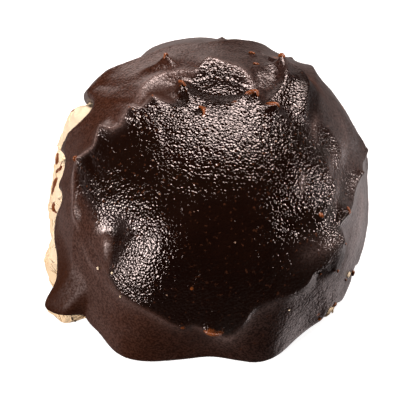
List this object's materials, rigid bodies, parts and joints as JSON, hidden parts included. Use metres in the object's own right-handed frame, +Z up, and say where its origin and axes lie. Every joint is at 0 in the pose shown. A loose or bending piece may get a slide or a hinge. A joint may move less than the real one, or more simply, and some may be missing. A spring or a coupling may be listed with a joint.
{
  "type": "chocolate coconut macaroon",
  "caption": "Domed baked coconut macaroon with a flat foot, under a poured dark chocolate coat that is drawn into folds and points and ends in a wavy edge with drips.",
  "frame": {"origin": "centre of the bounding box's bottom face, on the flat foot", "axes": "+Z up; the side shown in the picture faces -Y and +X is its right"},
  "size_m": [0.0551, 0.0582, 0.0285],
  "materials": {
    "baked_coconut": "pale cream baked coconut, matt, a little toasted near the foot",
    "dark_chocolate": "set dark chocolate with a fine pebbled skin, glossy on top and satin on the flanks"
  },
  "bodies": {
    "root": {"macaroon": "baked_coconut", "chocolate_coat": "dark_chocolate"}
  },
  "joints": []
}
